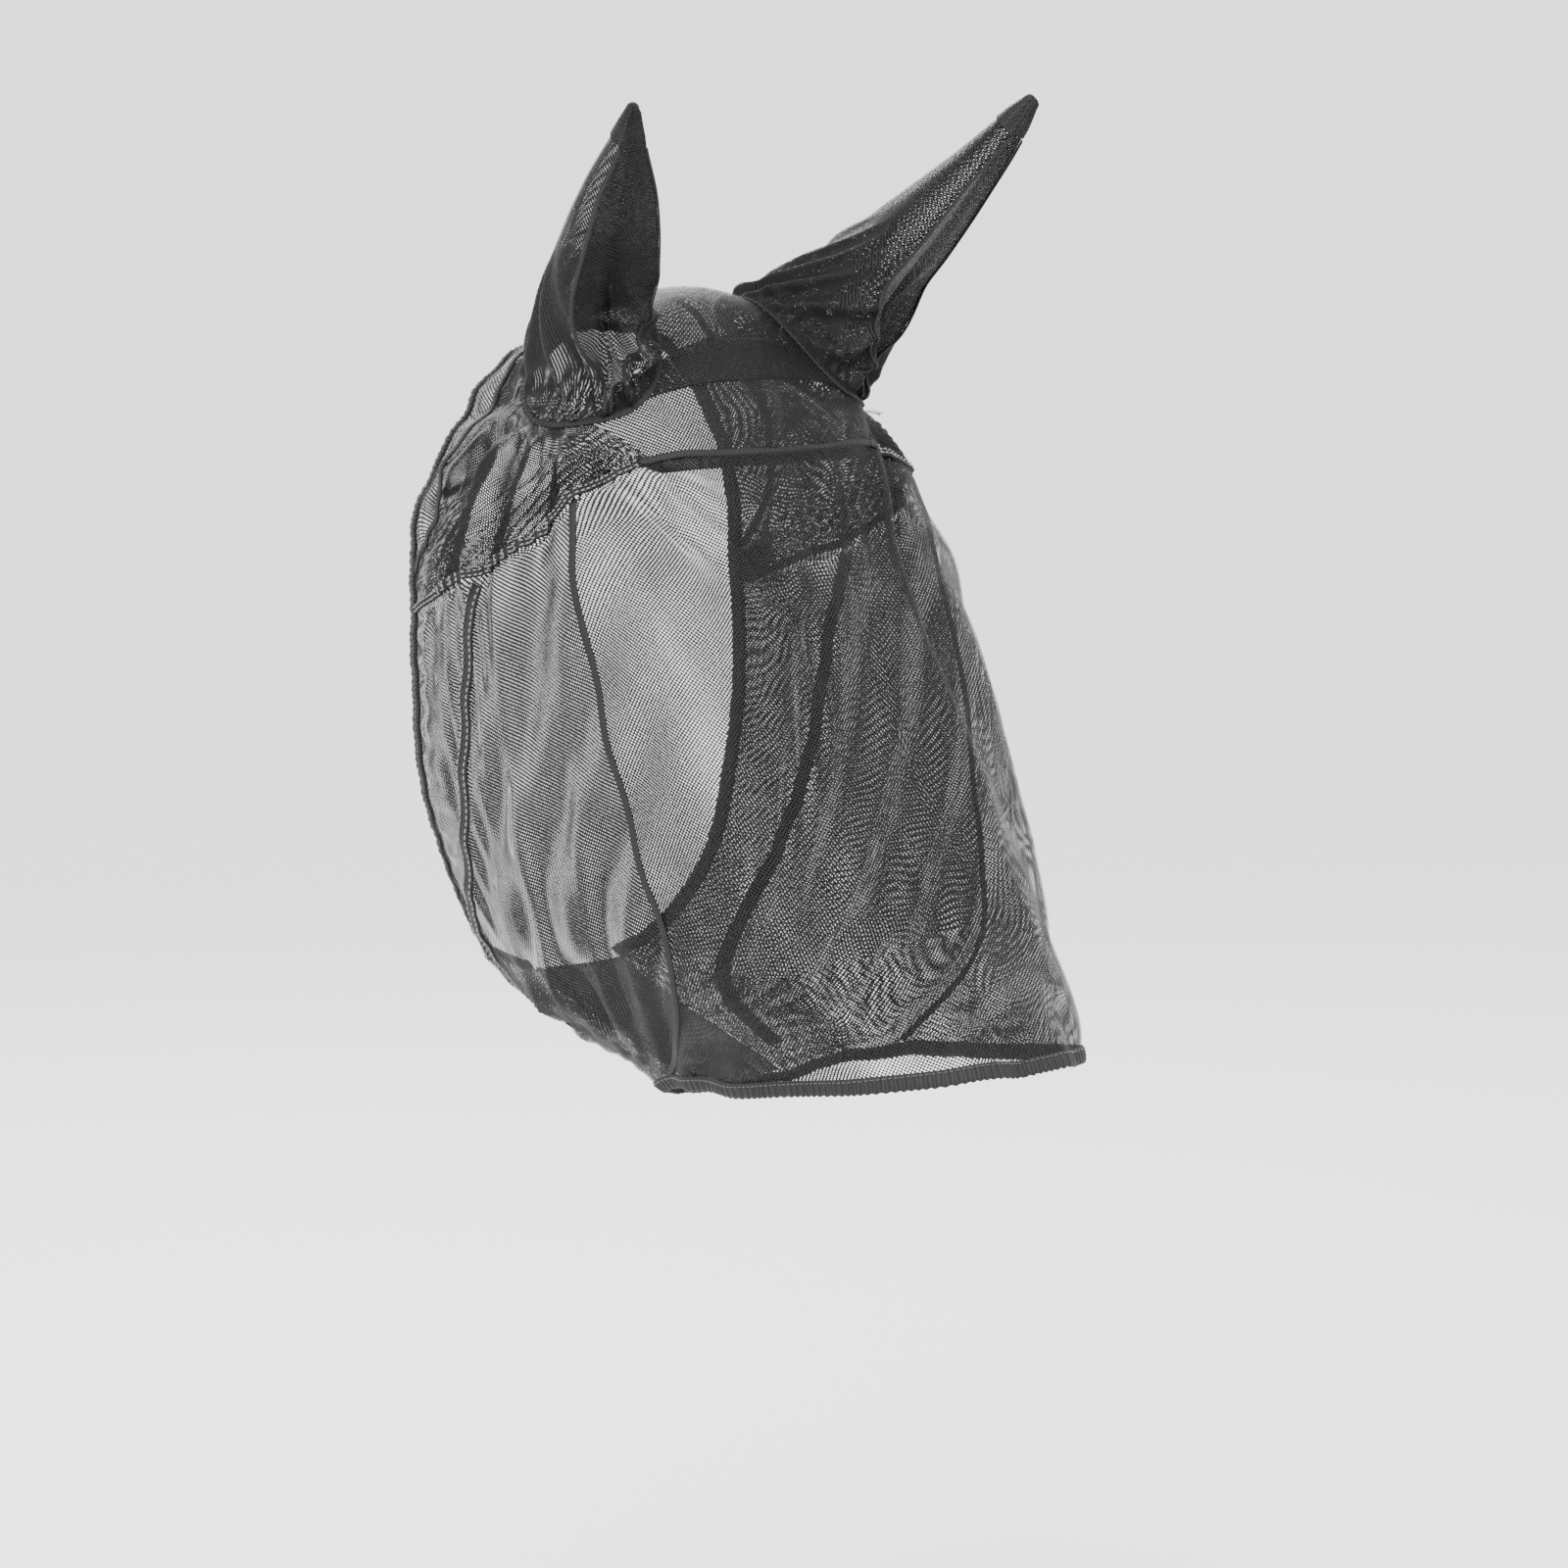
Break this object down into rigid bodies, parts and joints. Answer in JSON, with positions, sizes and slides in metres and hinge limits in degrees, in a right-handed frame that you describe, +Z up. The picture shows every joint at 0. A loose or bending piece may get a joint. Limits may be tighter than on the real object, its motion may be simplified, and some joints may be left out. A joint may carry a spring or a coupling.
{
  "type": "fly mask",
  "caption": "Net fly mask with ear pockets that covers a horse's head from the poll to above the nose, with an elastic nose hem and a closure under the jaw.",
  "frame": {"origin": "the poll: the top of the horse's head between its ears, where the crown panel rests", "axes": "+Z up, the horse faces -Y, and its right side is -X"},
  "size_m": [0.2652, 0.3676, 0.5097],
  "materials": {
    "net": "open stretch mesh, warm dark grey, matt",
    "tape": "woven tape, dark grey, matt",
    "hem": "folded mesh, ribbed by the elastic inside it",
    "elastic": "ribbed flat elastic, dark grey",
    "touch_tape": "hook and loop tape, near black",
    "label": "plain woven satin label, pale grey"
  },
  "bodies": {
    "hood": {"brow_facing": "tape", "brow_seam": "tape", "cheek_panel_left": "net", "cheek_panel_right": "net", "crown_panel": "net", "ear_base_seam_left": "tape", "ear_base_seam_right": "tape", "face_panel": "net", "face_seam_left": "tape", "face_seam_right": "tape", "gusset_left": "net", "gusset_right": "net", "loop_strip": "touch_tape", "nape_panel": "net", "nape_seam_left": "tape", "nape_seam_right": "tape", "neck_casing": "hem", "neck_elastic": "elastic", "nose_casing": "hem", "nose_elastic": "elastic", "side_seam_left": "tape", "side_seam_right": "tape", "throat_band_left": "elastic", "throat_band_right": "elastic", "under_flap": "net"},
    "ear_pocket_right": {"ear_back_right": "net", "ear_front_right": "net", "ear_tip_right": "net", "ear_outer_seam_right": "tape", "ear_inner_seam_right": "tape"},
    "ear_pocket_left": {"ear_back_left": "net", "ear_front_left": "net", "ear_tip_left": "net", "ear_outer_seam_left": "tape", "ear_inner_seam_left": "tape"},
    "throat_flap_body": {"throat_flap": "net", "hook_strip": "touch_tape"},
    "label": {"tag": "label"}
  },
  "joints": [
    {"name": "ear_tilt_right", "type": "hinge", "parent": "hood", "child": "ear_pocket_right", "pos_m": [-0.06588, 0.00416, -0.03883], "axis": [-1, 0, 0], "range_deg": [-15, 35], "stiffness_Nm_per_rad": 0.25},
    {"name": "ear_tilt_left", "type": "hinge", "parent": "hood", "child": "ear_pocket_left", "pos_m": [0.06588, 0.00416, -0.03883], "axis": [-1, 0, 0], "range_deg": [-15, 35], "stiffness_Nm_per_rad": 0.25},
    {"name": "throat_flap_peel", "type": "hinge", "parent": "hood", "child": "throat_flap_body", "pos_m": [-0.029, 0.03641, -0.39162], "axis": [0, 0.9502, 0.3117], "range_deg": [0, 120]},
    {"name": "label_flip", "type": "hinge", "parent": "hood", "child": "label", "pos_m": [0.09711, -0.02093, -0.0669], "axis": [0.4508, 0.88, -0.1496], "range_deg": [-35, 35], "stiffness_Nm_per_rad": 0.0003}
  ]
}
